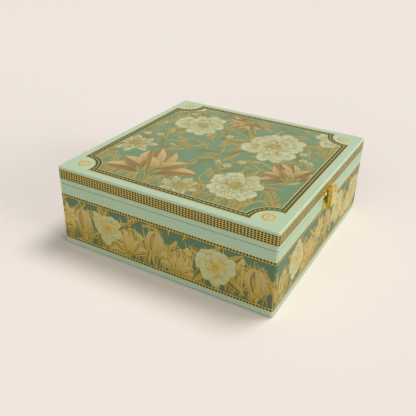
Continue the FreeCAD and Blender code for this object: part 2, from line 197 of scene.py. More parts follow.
# The garden on the lid, in millimetres from its middle, growing away from the -X side. Turns in degrees. Each
# loose grid of fronds has columns, rows and a pitch.
PANEL_SEED = 11
PANEL_SHADE_GRID = (6, 6, 31.0)
PANEL_SPRAY_GRID = (4, 4, 44.0)
PANEL_TUFTS = 9
PANEL_TUFT_PITCH = 20.0
PANEL_VINES = (
    ((-20, -88), (-6, -62), (-12, -30), (2, -4), (-6, 22), (10, 44), (2, 70), (14, 90)),
    ((92, -20), (70, -8), (52, -18), (30, -10), (14, -24), (4, -14)),
    ((-94, -6), (-74, 6), (-52, -4), (-34, 8), (-14, 2)),
    ((0, 24), (-18, 34), (-26, 58), (-46, 74), (-70, 72)),
    ((20, -92), (24, -72), (10, -56), (14, -38)),
    ((70, 92), (78, 66), (66, 48), (74, 24), (62, 6)),
)
PANEL_FRONDS = (
    (-86, -84, 80, 56), (-62, -88, 104, 42), (86, -84, 102, 52), (12, -92, 82, 44),
    (62, -90, 98, 38), (-88, 14, 62, 46), (90, 28, 122, 46), (-8, 12, 66, 40),
    (0, 92, -68, 36), (-88, 62, -30, 40), (24, 0, 30, 34), (-24, -14, 140, 36),
)
PANEL_BUDS = (
    (8, 8, -34, 15), (-22, 20, 44, 13), (72, -32, -50, 16), (-62, 8, 10, 14), (14, -30, 34, 14),
    (-4, 60, -12, 14), (82, 6, 20, 15), (-82, 24, 0, 13), (30, -8, -70, 12), (-38, -14, 70, 12),
)
PANEL_LILIES = ((-32, -72, 14, 50), (78, -24, 34, 36), (-8, 80, 150, 28))
PANEL_ROSES = (
    (36, 34, 33, 0.92), (-46, 46, 29, 0.88), (42, -54, 27, 0.9), (84, 84, 26, 1.0), (-88, 88, 22, 1.0),
)
PANEL_STARS = ((-76, -26, 21), (4, -78, 18))

# The gardens on the left side and the clasp's side of the base, repeated on the sides opposite. A flower has
# a place along the side from its middle, a level above the box's underside, a turn if it isn't round, and a
# size. A tuft has a place, a height and a number of blades.
BAND_SEED = 23
SPRAY_ROWS = 3
VINE_BENDS = 8
Garden = namedtuple("Garden", "sprays tufts tulips lilies roses stars")
BAND_GARDENS = (
    Garden(
        sprays=45,
        tufts=(
            (-88, 40, 16), (-62, 36, 12), (-14, 40, 16), (8, 34, 11),
            (34, 38, 14), (72, 40, 14), (92, 40, 12),
        ),
        tulips=((-76, 17, 10, 25), (-6, 20, -8, 24), (88, 15, 6, 26)),
        lilies=((-30, 12, 12, 25), (18, 11, -10, 22)),
        roses=((-52, 30, 17), (52, 29, 21)),
        stars=((-96, 30, 13),),
    ),
    Garden(
        sprays=36,
        tufts=((-86, 34, 10), (-30, 36, 11), (-8, 30, 8), (46, 36, 11), (72, 32, 9)),
        tulips=((8, 20, -8, 22), (-88, 17, -6, 20)),
        lilies=((-30, 12, 10, 24),),
        roses=((-60, 30, 19), (36, 31, 18), (82, 27, 20)),
        stars=((-10, 34, 12), (60, 18, 11)),
    ),
)


def linear(colour):
    """A colour written as 0 to 255 display values, as the shader needs it."""
    shares = [value / 255 for value in colour]
    return tuple(s / 12.92 if s <= 0.04045 else ((s + 0.055) / 1.055) ** 2.4 for s in shares) + (1.0,)


# Materials


class Paint:
    """A node material while it is being mixed."""

    def __init__(self, name, metallic=0.0, specular=0.5):
        self.material = bpy.data.materials.new(name)
        self.material.use_nodes = True
        self.tree = self.material.node_tree
        self.shader = self.tree.nodes["Principled BSDF"]
        self.shader.inputs["Metallic"].default_value = metallic
        self.shader.inputs["Specular IOR Level"].default_value = specular
        self.place = self.node("ShaderNodeTexCoord").outputs["Object"]

    def node(self, kind, settings=None, **inputs):
        """A new node; an input is a number, a colour or another node's output."""
        made = self.tree.nodes.new(kind)
        for name, value in (settings or {}).items():
            setattr(made, name, value)
        for name, value in inputs.items():
            self.feed(made.inputs[name.replace("_", " ")], value)
        return made

    def feed(self, socket, value):
        """Sets a socket, or links another node's output to it."""
        if isinstance(value, bpy.types.NodeSocket):
            self.tree.links.new(value, socket)
        else:
            socket.default_value = value

    def noise(self, size, detail=2.0, place=None):
        """Cloudy grey with spots about size millimetres across."""
        spot = place or self.place
        made = self.node("ShaderNodeTexNoise", Vector=spot, Scale=1 / (size * MM), Detail=detail)
        return made.outputs["Fac"]

    def stretched(self, stretch):
        """Places pulled out along the axes, for grain and brush marks."""
        return self.node("ShaderNodeMapping", Vector=self.place, Scale=stretch).outputs["Vector"]

    def math(self, operation, first, second=0.0):
        """A number worked out from one or two others."""
        made = self.node("ShaderNodeMath", {"operation": operation})
        self.feed(made.inputs[0], first)
        self.feed(made.inputs[1], second)
        return made.outputs[0]

    def ramp(self, factor, *stops):
        """Colours at shares of factor, blended smoothly between."""
        made = self.node("ShaderNodeValToRGB", Fac=factor)
        elements = made.color_ramp.elements
        for index, (share, colour) in enumerate(stops):
            stop = elements[index] if index < len(elements) else elements.new(share)
            stop.position = share
            stop.color = linear(colour)
        return made.outputs["Color"]

    def span(self, factor, low, high, start=0.3, end=0.7):
        """A number that runs from low to high as factor runs from start to end."""
        ends = {"From_Min": start, "From_Max": end, "To_Min": low, "To_Max": high}
        return self.node("ShaderNodeMapRange", Value=factor, **ends).outputs["Result"]

    def mix(self, factor, first, second):
        """The first colour, with the share of the second that factor gives."""
        made = self.node("ShaderNodeMix", {"data_type": "RGBA"}, Factor=factor)
        self.feed(made.inputs[MIX_FIRST], first)
        self.feed(made.inputs[MIX_SECOND], second)
        return made.outputs[MIX_RESULT]

    def finish(self, colour, roughness, height, strength, depth):
        """Joins colour, roughness and a bump, depth millimetres deep, to the shader."""
        self.feed(self.shader.inputs["Base Color"], colour)
        self.feed(self.shader.inputs["Roughness"], roughness)
        bump = self.node("ShaderNodeBump", Strength=strength, Distance=depth * MM, Height=height)
        self.tree.links.new(bump.outputs["Normal"], self.shader.inputs["Normal"])
        return self.material


def edge_distance(paint, half, low, high):
    """Metres from the nearest edge of a box: the middle one of the distances to its three nearest sides."""
    split = paint.node("ShaderNodeSeparateXYZ", Vector=paint.place)
    gaps = []
    for axis in "XY":
        gaps.append(paint.math("SUBTRACT", half * MM, paint.math("ABSOLUTE", split.outputs[axis])))
    centred = paint.math("SUBTRACT", split.outputs["Z"], (low + high) / 2 * MM)
    gaps.append(paint.math("SUBTRACT", (high - low) / 2 * MM, paint.math("ABSOLUTE", centred)))
    inner = paint.math("MINIMUM", paint.math("MAXIMUM", gaps[0], gaps[1]), gaps[2])
    return paint.math("MAXIMUM", paint.math("MINIMUM", gaps[0], gaps[1]), inner)


def wrap_paper(name, low, high, seam):
    """Sage paper with a satin film: faint clouds, fibres, folds paler from wear and a painted highlight, and
    a painted shade line along the seam.
    """
    paint = Paint(name, specular=0.35)
    fibres = paint.noise(0.9, 4.0, paint.stretched((1.0, 1.0, 0.35)))
    sage = paint.ramp(paint.noise(45.0, 3.0), (0.3, SAGE_DEEP), (0.7, SAGE))
    sage = paint.mix(paint.span(fibres, 0.0, 0.10), sage, linear(SAGE_FIBRE))
    # Paler near the folds, in noisy patches: partly wear, partly a painted highlight along the edges.
    near = paint.span(edge_distance(paint, HALF, low, high), 1.0, 0.0, *[reach * MM for reach in WEAR_AND_HIGHLIGHT_REACH])
    worn_and_highlit = paint.math("MULTIPLY", near, paint.span(paint.noise(5.0, 5.0), 0.05, 0.6))
    sage = paint.mix(worn_and_highlit, sage, linear(SAGE_WORN_AND_HIGHLIT))
    # Painted shade: darker in a thin line along the seam where the lid meets the base.
    level = paint.node("ShaderNodeSeparateXYZ", Vector=paint.place).outputs["Z"]
    from_seam = paint.math("ABSOLUTE", paint.math("SUBTRACT", level, seam * MM))
    shaded = paint.span(from_seam, SEAM_SHADE, 0.0, *[reach * MM for reach in SEAM_REACH])
    sage = paint.mix(shaded, sage, linear(SAGE_PAINTED_SEAM_SHADE))
    roughness = paint.span(paint.noise(14.0, 3.0), 0.40, 0.52)
    waves = paint.math("ADD", paint.noise(6.0, 2.0), paint.math("MULTIPLY", fibres, 0.25))
    return paint.finish(sage, roughness, waves, 0.10, 0.05)


def plain_paper(name, pale, deep, fleck):
    """Uncoated paper with visible fibres, for linings and the underside."""
    paint = Paint(name, specular=0.2)
    fibres = paint.noise(0.7, 5.0, paint.stretched((1.0, 0.4, 1.0)))
    colour = paint.ramp(paint.noise(30.0, 3.0), (0.3, deep), (0.7, pale))
    colour = paint.mix(paint.span(fibres, 0.0, 0.25, 0.45, 0.75), colour, linear(fleck))
    return paint.finish(colour, paint.span(fibres, 0.72, 0.88), fibres, 0.25, 0.06)


def fibreboard(name):
    """Pressed wood fibre: brown with short pale and dark strands."""
    paint = Paint(name, specular=0.2)
    strands = paint.noise(1.2, 6.0, paint.stretched((0.3, 1.0, 1.0)))
    colour = paint.ramp(strands, (0.3, BOARD_DEEP), (0.5, BOARD), (0.72, BOARD_PALE))
    colour = paint.mix(paint.span(paint.noise(18.0, 3.0), 0.0, 0.25), colour, linear(BOARD_DEEP))
    return paint.finish(colour, paint.span(strands, 0.78, 0.92), strands, 0.4, 0.1)


def gold_metal(name):
    """Polished plated brass: faint tarnish, brush marks and fine scratches."""
    paint = Paint(name, metallic=1.0)
    brushed = paint.noise(0.35, 3.0, paint.stretched((1.0, 1.0, 0.12)))
    tarnish = paint.noise(4.0, 5.0)
    colour = paint.ramp(tarnish, (0.32, BRASS_DEEP), (0.55, BRASS), (0.75, BRASS_PALE))
    scratches = paint.noise(0.5, 6.0, paint.stretched((0.15, 1.0, 1.0)))
    worn = paint.span(scratches, 0.0, 0.08, 0.55, 0.75)
    rough = paint.math("ADD", paint.span(tarnish, 0.18, 0.32), worn)
    return paint.finish(colour, rough, paint.math("ADD", brushed, scratches), 0.12, 0.02)


@functools.cache
def ink_material(ink, name):
    """Printed ink or foil: shaded from the root to the tip of each shape, with each shape its own tint."""
    paint = Paint("ink_" + name, metallic=ink.metallic, specular=0.2)
    drawn = paint.node("ShaderNodeAttribute", {"attribute_name": "print_place"}).outputs["Vector"]
    split = paint.node("ShaderNodeSeparateXYZ", Vector=drawn)
    side = paint.math("ABSOLUTE", split.outputs["Y"])
    colour = paint.ramp(split.outputs["X"], (0.0, ink.root), (0.75, ink.tip))
    colour = paint.mix(paint.span(side, 0.0, 0.18, 0.5, 1.0), colour, linear(ink.root))
    darker = tuple(value * 0.86 for value in ink.root)
    colour = paint.mix(paint.span(split.outputs["Z"], 0.0, 0.30, 0.0, 1.0), colour, linear(darker))
    grain = paint.noise(0.8, 4.0)
    colour = paint.mix(paint.span(grain, 0.0, 0.14), colour, linear(ink.root))
    roughness = paint.span(paint.noise(9.0, 3.0), ink.roughness - 0.06, ink.roughness + 0.06)
    return paint.finish(colour, roughness, grain, 0.12, 0.03)


def floor_material(name):
    """A pale floor that looks as written and sends neutral light back up."""
    paint = Paint(name, specular=0.0)
    cloud = paint.noise(300.0, 2.0)
    deep = tuple(value - 1 for value in FLOOR_COLOUR)
    seen = paint.ramp(cloud, (0.3, deep), (0.7, FLOOR_COLOUR))
    colour = paint.mix(seen_directly(paint.tree), linear(BOUNCE_COLOUR), seen)
    return paint.finish(colour, 0.9, cloud, 0.02, 0.1)


def seen_directly(tree):
    """One for rays from the camera, also by way of a mirror or glass, and nought for light on its way."""
    path = tree.nodes.new("ShaderNodeLightPath")
    shown = path.outputs["Is Camera Ray"]
    for kind in ("Is Glossy Ray", "Is Transmission Ray"):
        either = tree.nodes.new("ShaderNodeMath")
        either.operation = "MAXIMUM"
        tree.links.new(shown, either.inputs[0])
        tree.links.new(path.outputs[kind], either.inputs[1])
        shown = either.outputs[0]
    return shown


# Flat art


Shape = namedtuple("Shape", "ink outline root tip tint")


class Art:
    """Shapes in millimetres, each laid over the ones before it. Outlines run anticlockwise."""

    def __init__(self):
        self.shapes = []

    def add(self, ink, outline, root=(0.0, 0.0), tip=(1.0, 0.0), tint=0.0):
        """A shape in one ink, shaded from its root to its tip. No ink leaves the paper bare."""
        self.shapes.append(Shape(ink, outline, root, tip, tint))

    def strip(self, ink, start, end, low, high):
        """An upright rectangle, shaded from its foot to its top."""
        self.add(ink, [(start, low), (end, low), (end, high), (start, high)], (start, low), (start, high))

    def stroke(self, ink, path, start, end, tint=0.0):
        """A line that tapers along a path, laid in short pieces so that none crosses itself."""
        count = len(path) - 1
        for first in range(0, count, STROKE_PIECE):
            last = min(first + STROKE_PIECE, count)
            widths = [start + (end - start) * i / count for i in range(first, last + 1)]
            self.add(ink, ribbon(path[first:last + 1], widths), path[0], path[-1], tint)

    def dot(self, ink, centre, radius, tint=0.0, steps=8, height=None):
        """A disc, or an oval if a height is given."""
        tall = height if height else radius
        angles = [math.tau * i / steps for i in range(steps)]
        outline = [(centre[0] + radius * math.cos(a), centre[1] + tall * math.sin(a)) for a in angles]
        self.add(ink, outline, (centre[0] - radius, centre[1]), (centre[0] + radius, centre[1]), tint)

    def paste(self, other, place, turn=0.0, squash=1.0):
        """Another piece of art, squashed across, turned and put in place."""
        c = math.cos(turn)
        s = math.sin(turn)

        def put(point):
            """A point of the other art, in this one."""
            x = point[0] * squash
            return (place[0] + c * x - s * point[1], place[1] + s * x + c * point[1])

        for shape in other.shapes:
            outline = [put(point) for point in shape.outline]
            self.add(shape.ink, outline, put(shape.root), put(shape.tip), shape.tint)


def ribbon(path, widths):
    """Outline of a line of the given widths along a path."""
    right = []
    left = []
    for index, (x, y) in enumerate(path):
        x0, y0 = path[max(index - 1, 0)]
        x1, y1 = path[min(index + 1, len(path) - 1)]
        across = widths[index] / 2 / math.hypot(x1 - x0, y1 - y0)
        right.append((x + (y1 - y0) * across, y - (x1 - x0) * across))
        left.append((x - (y1 - y0) * across, y + (x1 - x0) * across))
    return right + left[::-1]


def smooth(points, steps):
    """A curve through all the points."""
    padded = [points[0]] + list(points) + [points[-1]]
    curve = []
    for before, start, end, after in zip(padded, padded[1:], padded[2:], padded[3:]):
        a, b, c, d = (Vector(point) for point in (before, start, end, after))
        for i in range(steps):
            t = i / steps
            bend = c - a + t * (2 * a - 5 * b + 4 * c - d + t * (3 * (b - c) + d - a))
            curve.append(tuple(b + 0.5 * t * bend))
    return curve + [tuple(points[-1])]


class Blade:
    """A leaf or petal: a bowed spine with a width that swells from its root and closes at its tip."""

    def __init__(self, root, heading, length, width, bow=0.0, base=0.75, tip=0.9):
        self.root = root
        self.heading = heading
        self.length = length
        self.width = width
        self.bow = bow if abs(bow) > 1e-3 else 1e-3
        self.base = base
        self.tip = tip
        widest = base / (base + tip)
        self.crest = widest ** base * (1 - widest) ** tip

    def at(self, share, side=0.0):
        """The point at a share of the length, from the right edge at side -1 to the left edge at side 1."""
        turn = self.heading + self.bow * share
        radius = self.length / self.bow
        x = self.root[0] + radius * (math.sin(turn) - math.sin(self.heading))
        y = self.root[1] + radius * (math.cos(self.heading) - math.cos(turn))
        reach = side * self.width / 2 * share ** self.base * (1 - share) ** self.tip / self.crest
        return (x - reach * math.sin(turn), y + reach * math.cos(turn))

    def part(self, right=-1.0, left=1.0, start=0.0, end=1.0, steps=7):
        """Outline of the part between two sides and two shares of the length."""
        eased = [0.5 - 0.5 * math.cos(math.pi * i / steps) for i in range(steps + 1)]
        shares = [start + (end - start) * share for share in eased]
        outline = [self.at(t, right) for t in shares] + [self.at(t, left) for t in reversed(shares)]
        return [p for p, q in zip(outline, outline[1:] + outline[:1]) if math.dist(p, q) > 1e-6]

    def inside(self, line):
        """The blade within a drawn edge of the given width."""
        root = self.at(line / self.length)
        length = self.length - 2 * line
        width = max(self.width - 2 * line, 0.2)
        return Blade(root, self.heading, length, width, self.bow, self.base, self.tip)

    def vein(self, side, start, end, steps=2):
        """A path that fans out from the spine towards one side."""
        shares = [start + (end - start) * i / steps for i in range(steps + 1)]
        return [self.at(t, side * (0.45 + 0.55 * t)) for t in shares]

    def lay(self, art, ink, tint=0.0, **part):
        """Adds the blade, or a part of it, to some art."""
        art.add(ink, self.part(**part), self.root, self.at(1.0), tint)


# Motifs


def leaf(art, rng, root, heading, length, width, bow, edge=0.4, veins=4):
    """A two-toned leaf with a gold edge, midrib and veins."""
    blade = Blade(root, heading, length, width, bow)
    blade.lay(art, "gold", rng.random())
    inner = blade.inside(edge)
    tint = rng.random()
    inner.lay(art, "leaf", tint, right=0.0)
    inner.lay(art, "leaf_deep", tint, left=0.0)
    art.stroke("gold", [inner.at(i / 4) for i in range(5)], PEN * 1.2, PEN * 0.5)
    for i in range(veins):
        start = 0.18 + 0.6 * i / veins
        for side in (-0.8, 0.8):
            path = [inner.at(start), inner.at(start + 0.08, side * 0.5), inner.at(start + 0.17, side)]
            art.stroke("tan" if side < 0 else "gold", path, PEN * 0.8, PEN * 0.4)


def frond(art, rng, root, heading, length, bow, reach, ink, line):
    """A stem with pairs of slim leaflets that shorten towards its tip, each with a line along its middle."""
    stem = Blade(root, heading, length, 1.0, bow)
    pairs = round(length / (0.42 * reach))
    for i in range(pairs):
        share = 0.12 + 0.86 * i / pairs
        size = reach * (1.1 - 0.65 * share) * rng.uniform(0.8, 1.15)
        turn = stem.heading + stem.bow * share
        for side in (-1, 1):
            heading = turn + side * rng.uniform(0.45, 0.85)
            leaflet = Blade(stem.at(share), heading, size, size * 0.29, -side * rng.uniform(0.1, 0.8))
            leaflet.lay(art, ink, rng.random(), steps=4)
            art.stroke(line, [leaflet.at(0.0), leaflet.at(0.8)], PEN * 1.1, PEN * 0.5)
    art.stroke(line, [stem.at(i / 6) for i in range(7)], PEN * 1.7, PEN * 0.8)


def petal(art, rng, heading, length, width, colour, line, start):
    """A broad petal with a lobed tip, drawn edges, folds and veins. Other petals hide it below start."""
    lobes = rng.choice((2, 3, 3))
    blades = []
    for i in range(lobes):
        turn = heading + (i - (lobes - 1) / 2) * 0.66 / lobes
        reach = length * rng.uniform(0.86, 1.06)
        blades.append(Blade((0.0, 0.0), turn, reach, width * 0.62, rng.uniform(-0.25, 0.25), 0.95, 0.45))
    for blade in blades:
        blade.lay(art, line, rng.random() * 0.5, start=start)
    for blade in blades:
        blade.inside(PEN).lay(art, colour, rng.random(), start=start)
    for blade in blades:
        near = rng.uniform(-0.85, 0.25)
        fold = {"right": near, "left": near + 0.5, "start": start, "end": rng.uniform(0.6, 0.9)}
        blade.inside(2 * PEN).lay(art, colour + "_shade", rng.random(), steps=5, **fold)
        for side in (-0.66, -0.24, 0.2, 0.62):
            art.stroke(line, blade.vein(side, start, rng.uniform(0.6, 0.9)), PEN, PEN * 0.4, rng.random())


def rose(rng, radius, colour="ivory", line="tan"):
    """An open flower seen from the front: rings of petals round a boss of stamens."""
    art = Art()
    for count, reach, width, hidden in ((7, 1.0, 0.72, 0.45), (6, 0.72, 0.54, 0.40), (5, 0.45, 0.38, 0.30)):
        first = rng.random() * math.tau
        for i in range(count):
            heading = first + math.tau * (i + rng.uniform(-0.2, 0.2)) / count
            length = radius * reach * rng.uniform(0.8, 1.1)
            petal(art, rng, heading, length, radius * width, colour, line, hidden)
    stamens(art, rng, radius * 0.27, 20)
    return art


def stamens(art, rng, reach, count):
    """Gold threads with round tips round a beaded boss."""
    for i in range(count):
        heading = math.tau * i / count + rng.uniform(-0.1, 0.1)
        thread = Blade((0.0, 0.0), heading, reach * rng.uniform(0.6, 1.15), 0.5)
        art.stroke("gold", [thread.at(0.3), thread.at(1.0)], 0.45, 0.35)
        art.dot("gold", thread.at(1.0), 0.6, rng.random(), 6)
    art.dot("gold", (0.0, 0.0), reach * 0.42, 0.0, 12)
    for i in range(8):
        bead = Blade((0.0, 0.0), math.tau * i / 8, reach * 0.26, 0.5).at(1.0)
        art.dot("tan", bead, reach * 0.09, rng.random(), 6)


def slim_petal(art, rng, heading, length, width, bow, colour, line, start=0.0):
    """A pointed petal in two tones with a drawn edge, a midrib and veins."""
    blade = Blade((0.0, 0.0), heading, length, width, bow, 0.8, 0.72)
    blade.lay(art, line, rng.random(), start=start)
    inner = blade.inside(PEN)
    far = -0.95 if bow < 0 else 0.95
    inner.lay(art, colour, rng.random() * 0.6, start=start)
    half = {"right": min(0.0, far), "left": max(0.0, far)}
    inner.lay(art, colour + "_shade", rng.random(), start=start, **half)
    art.stroke(line, [inner.at(start + (0.9 - start) * i / 4) for i in range(5)], PEN * 1.3, PEN * 0.5)
    for side in (-0.78, -0.54, -0.28, 0.28, 0.54, 0.78):
        art.stroke(line, inner.vein(side, max(start, 0.15), rng.uniform(0.6, 0.9)), PEN, PEN * 0.4)


def lily(rng, size, colour="blush", line="blush_shade"):
    """A trumpet flower from the side: back petals, then front petals that curl outwards, and threads."""
    art = Art()
    for offset, length, bow in ((-0.42, 0.94, 0.35), (0.45, 0.9, -0.35), (0.02, 1.0, 0.1)):
        slim_petal(art, rng, UP + offset, size * length, size * 0.34, bow, colour, line, 0.3)
    outer = ((-1.0, 0.86, -0.75), (1.05, 0.82, 0.8))
    inner = ((-0.55, 0.8, -0.6), (0.62, 0.78, 0.55), (0.05, 0.62, 0.3))
    for offset, length, bow in outer + inner:
        slim_petal(art, rng, UP + offset, size * length, size * 0.36, bow, colour, line, 0.12)
    for i in range(-2, 3):
        thread = Blade((0.0, size * 0.1), UP + i * 0.17, size * rng.uniform(0.5, 0.66), 0.5, i * 0.12)
        art.stroke("gold", [thread.at(k / 4) for k in range(1, 5)], 0.5, 0.35)
        art.dot("gold", thread.at(1.0), 0.9, 0.2, 7)
    calyx(art, rng, size * 0.34)
    return art


def star(rng, radius, colour="ivory", line="tan"):
    """A flower with slim pointed petals in two rings."""
    art = Art()
    for count, reach, width, hidden in ((8, 1.0, 0.42, 0.35), (7, 0.68, 0.34, 0.2)):
        first = rng.random() * math.tau
        for i in range(count):
            heading = first + math.tau * i / count + rng.uniform(-0.1, 0.1)
            length = radius * reach * rng.uniform(0.9, 1.06)
            bow = rng.uniform(-0.35, 0.35)
            slim_petal(art, rng, heading, length, radius * width, bow, colour, line, hidden)
    stamens(art, rng, radius * 0.2, 12)
    return art


def tulip(rng, size, colour="blush", line="gold"):
    """A cupped flower from the side."""
    art = Art()
    for offset, bow in ((-0.16, 0.3), (0.16, -0.3), (-0.46, 0.75), (0.46, -0.75), (0.0, 0.02)):
        slim_petal(art, rng, UP + offset, size * rng.uniform(0.92, 1.0), size * 0.48, bow, colour, line, 0.1)
    calyx(art, rng, size * 0.26)
    return art


def calyx(art, rng, size):
    """The small leaves that hold a flower."""
    for offset in (-1.0, 1.0, -0.35, 0.35):
        leaf(art, rng, (0.0, -size * 0.2), UP + offset, size, size * 0.34, -offset * 0.5, 0.3, 0)


def bud(rng, size):
    """A closed bud on a short stem."""
    art = Art()
    art.stroke("gold", [(0.0, -size * 0.9), (size * 0.04, -size * 0.4), (0.0, 0.0)], 0.8, 0.6)
    for offset in (-0.18, 0.18, 0.0):
        slim_petal(art, rng, UP + offset, size, size * 0.38, offset * -1.6, "ivory", "tan", 0.1)
    calyx(art, rng, size * 0.4)
    return art


def blossom(rng, radius):
    """A little five-petalled flower."""
    art = Art()
    first = rng.random() * math.tau
    for i in range(5):
        blade = Blade((0.0, 0.0), first + math.tau * i / 5, radius, radius * 0.8, 0.0, 0.9, 0.4)
        blade.lay(art, "gold", rng.random(), steps=5)
        blade.inside(0.4).lay(art, "ivory", rng.random(), steps=5)
    art.dot("gold", (0.0, 0.0), radius * 0.28)
    return art


def tendril(art, root, heading, length, bow, width=0.6):
    """A fine line that curls ever tighter to its end."""
    path = [root]
    count = 12
    turn = heading
    for i in range(count):
        turn += bow * 2 * (i + 1) / count / count
        step = length / count * (1.3 - 0.8 * i / count)
        path.append((path[-1][0] + step * math.cos(turn), path[-1][1] + step * math.sin(turn)))
    art.stroke("gold", path, width, width * 0.55)
    art.dot("gold", path[-1], width * 0.9)


def vine(art, rng, points, spacing, size, width=1.0):
    """A climbing stem with slim leaves on alternate sides, and here and there a tendril or a blossom."""
    path = smooth(points, 7)
    travelled = 0.0
    side = 1
    for (x0, y0), (x1, y1) in zip(path, path[1:]):
        travelled += math.dist((x0, y0), (x1, y1))
        if travelled < spacing:
            continue
        travelled = 0.0
        side = -side
        heading = math.atan2(y1 - y0, x1 - x0) + side * rng.uniform(0.5, 0.95)
        kind = rng.random()
        if kind < 0.68:
            length = size * rng.uniform(0.7, 1.2)
            bow = -side * rng.uniform(0.2, 0.8)
            leaf(art, rng, (x1, y1), heading, length, length * 0.28, bow, 0.35, 3)
        elif kind < 0.86:
            tendril(art, (x1, y1), heading, size * 1.2, side * 4.0)
        else:
            end = (x1 + size * 0.5 * math.cos(heading), y1 + size * 0.5 * math.sin(heading))
            art.stroke("gold", [(x1, y1), end], 0.6, 0.5)
            art.paste(blossom(rng, size * 0.32), end)
    art.stroke("gold", path, width, width * 0.6)


def grass(art, rng, root, height, count, spread):
    """A tuft of long narrow blades in gold and olive."""
    for i in range(count):
        start = (root[0] + rng.uniform(-spread, spread), root[1])
        lean = rng.uniform(-0.45, 0.45)
        length = height * rng.uniform(0.45, 1.05)
        width = rng.uniform(1.1, 2.2)
        blade = Blade(start, UP - lean * 0.6, length, width, -lean * rng.uniform(0.4, 1.4), 0.35, 0.8)
        ink = rng.choice(("leaf", "leaf_deep", "gold", "leaf", "tan"))
        blade.lay(art, ink, rng.random(), steps=5)
        if ink != "gold":
            art.stroke("gold", [blade.at(t) for t in (0.05, 0.35, 0.65, 0.92)], PEN, PEN * 0.5)


# The panels


def scooped(inset):
    """The panel's outline, drawn in by inset millimetres: a square whose corners are scooped out."""
    side = PANEL_HALF - inset
    radius = SCOOP_RADIUS + inset
    fall = math.sqrt(radius ** 2 - (side - SCOOP_CENTRE) ** 2)
    start = math.atan2(-fall, side - SCOOP_CENTRE)
    end = math.atan2(side - SCOOP_CENTRE, -fall)
    end -= math.tau if end > start else 0.0
    outline = []
    for corner in range(4):
        turn = Matrix.Rotation(corner * UP, 2)
        for i in range(SCOOP_STEPS + 1):
            angle = start + (end - start) * i / SCOOP_STEPS
            spot = Vector((SCOOP_CENTRE + radius * math.cos(angle), SCOOP_CENTRE + radius * math.sin(angle)))
            outline.append(tuple(turn @ spot))
    return outline


def stretch_of(path, start, end):
    """The part of a path between two distances along it."""
    points = []
    travelled = 0.0
    for a, b in zip(path, path[1:]):
        run = math.dist(a, b)
        low = max(start - travelled, 0.0)
        high = min(end - travelled, run)
        if low < high:
            for share in (low / run, high / run):
                point = (a[0] + (b[0] - a[0]) * share, a[1] + (b[1] - a[1]) * share)
                if not points or math.dist(points[-1], point) > 1e-4:
                    points.append(point)
        travelled += run
    return points


def border_art():
    """Gold lines, a dark band with gold beads, and a ring in each corner."""
    art = Art()
    ends = ((-HALF, 0.0), (HALF, 0.0))
    art.add("gold", scooped(0.0), *ends)
    art.add("dark", scooped(BORDER_GOLD), *ends)
    middle = scooped(BORDER_WIDTH / 2)
    middle = middle + middle[:1]
    total = sum(math.dist(a, b) for a, b in zip(middle, middle[1:]))
    count = round(total / BEAD_PITCH)
    for i in range(count):
        start = total * i / count
        piece = stretch_of(middle, start, start + BEAD_LENGTH)
        art.add("gold", ribbon(piece, [BORDER_BEAD] * len(piece)), piece[0], piece[-1])
    art.add("gold", scooped(BORDER_WIDTH - BORDER_GOLD), *ends)
    art.add(None, scooped(BORDER_WIDTH))
    for x in (-RING_CENTRE, RING_CENTRE):
        for y in (-RING_CENTRE, RING_CENTRE):
            art.dot("ring", (x, y), RING_OUTER, 0.0, 40)
            art.dot(None, (x, y), RING_INNER, 0.0, 32)
            art.dot("ring", (x, y), RING_DOT, 0.0, 16)
    return art


def scattered(rng, columns, rows, pitch):
    """Places on a loose grid about the middle."""
    for row in range(rows):
        for column in range(columns):
            x = (column - (columns - 1) / 2 + rng.uniform(-0.4, 0.4)) * pitch
            y = (row - (rows - 1) / 2 + rng.uniform(-0.4, 0.4)) * pitch
            yield (x, y)


def loose_frond(art, rng, root, heading, lengths, reach, ink, line):
    """A frond of a length between two, with a bow of its own."""
    frond(art, rng, root, heading, rng.uniform(*lengths), rng.uniform(-0.8, 0.8), reach, ink, line)


def leaves_round(art, rng, centre, radius, count):
    """Leaves that look out from under a flower."""
    for i in range(count):
        size = radius * rng.uniform(1.15, 1.5)
        heading = math.tau * (i + 0.7 * rng.random()) / count
        leaf(art, rng, centre, heading, size, size * 0.27, rng.uniform(-0.8, 0.8), 0.45, 6)


def panel_art():
    """The garden on the lid."""
    rng = random.Random(PANEL_SEED)
    art = Art()
    art.strip("ground", -PANEL_HALF, PANEL_HALF, -PANEL_HALF, PANEL_HALF)
    for root in scattered(rng, *PANEL_SHADE_GRID):
        loose_frond(art, rng, root, UP + rng.uniform(-1.2, 1.2), (26, 40), 11.0, "shade_leaf", "leaf_deep")
    for root in scattered(rng, *PANEL_SPRAY_GRID):
        loose_frond(art, rng, root, UP + rng.uniform(-1.0, 1.0), (16, 28), 6.0, "leaf", "gold")
    for column in range(PANEL_TUFTS):
        x = (column - PANEL_TUFTS // 2) * PANEL_TUFT_PITCH
        grass(art, rng, (x, -PANEL_HALF + 4), rng.uniform(20, 34), 10, 9.0)
    for x, y, heading, length in PANEL_FRONDS:
        loose_frond(art, rng, (x, y), math.radians(heading), (length, length), length * 0.3, "leaf", "gold")
    for points in PANEL_VINES:
        vine(art, rng, points, 6.5, 13.0)
    for x, y, radius, _ in PANEL_ROSES:
        leaves_round(art, rng, (x, y), radius, 7)
    for x, y, turn, size in PANEL_BUDS:
        art.paste(bud(rng, size), (x, y), math.radians(turn))
    for x, y, turn, size in PANEL_LILIES:
        art.paste(lily(rng, size), (x, y), math.radians(turn))
    for x, y, radius, squash in PANEL_ROSES:
        art.paste(rose(rng, radius), (x, y), rng.random() * math.tau, squash)
    for x, y, radius in PANEL_STARS:
        art.paste(star(rng, radius), (x, y))
    return art


